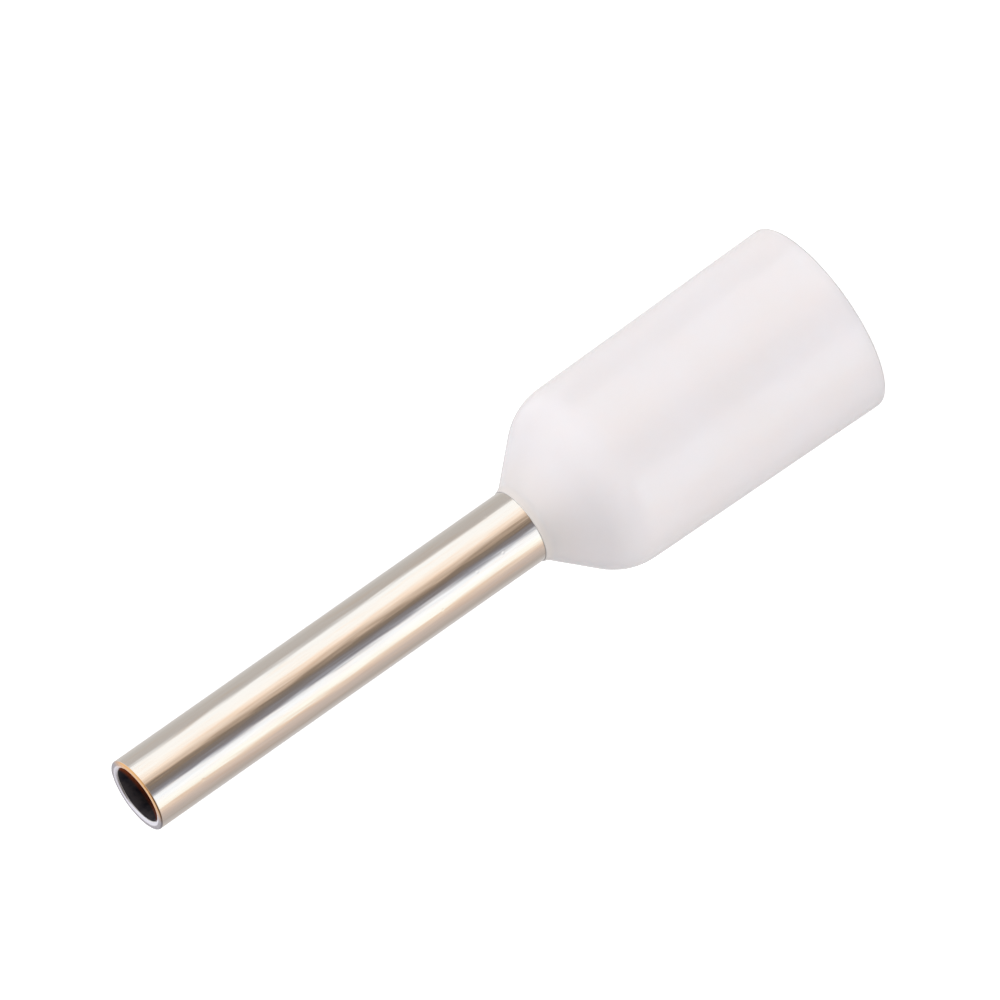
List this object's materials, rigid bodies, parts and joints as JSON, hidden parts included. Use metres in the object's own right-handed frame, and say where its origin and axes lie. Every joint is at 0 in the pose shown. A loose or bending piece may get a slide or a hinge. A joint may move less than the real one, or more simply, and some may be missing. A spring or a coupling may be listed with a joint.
{
  "type": "wire ferrule",
  "caption": "Insulated wire ferrule: a thin plated metal tube for stripped strands, its flared end held in a tapered white plastic collar with a rounded conical shoulder and a thin lip.",
  "frame": {"origin": "centre of the collar's open mouth, in the plane of its rim", "axes": "+Z along the axis, from the collar's open mouth to the tip of the metal sleeve; X and Y are equivalent"},
  "size_m": [0.0034, 0.0034, 0.014],
  "materials": {
    "collar_plastic": "smooth semi-gloss moulded polypropylene, warm white, slightly translucent",
    "plated_sleeve": "bright tin plating on drawn copper, fine drawing lines along the tube, bare copper at the inner edge of the cut"
  },
  "bodies": {
    "root": {"collar": "collar_plastic", "sleeve": "plated_sleeve"}
  },
  "joints": []
}
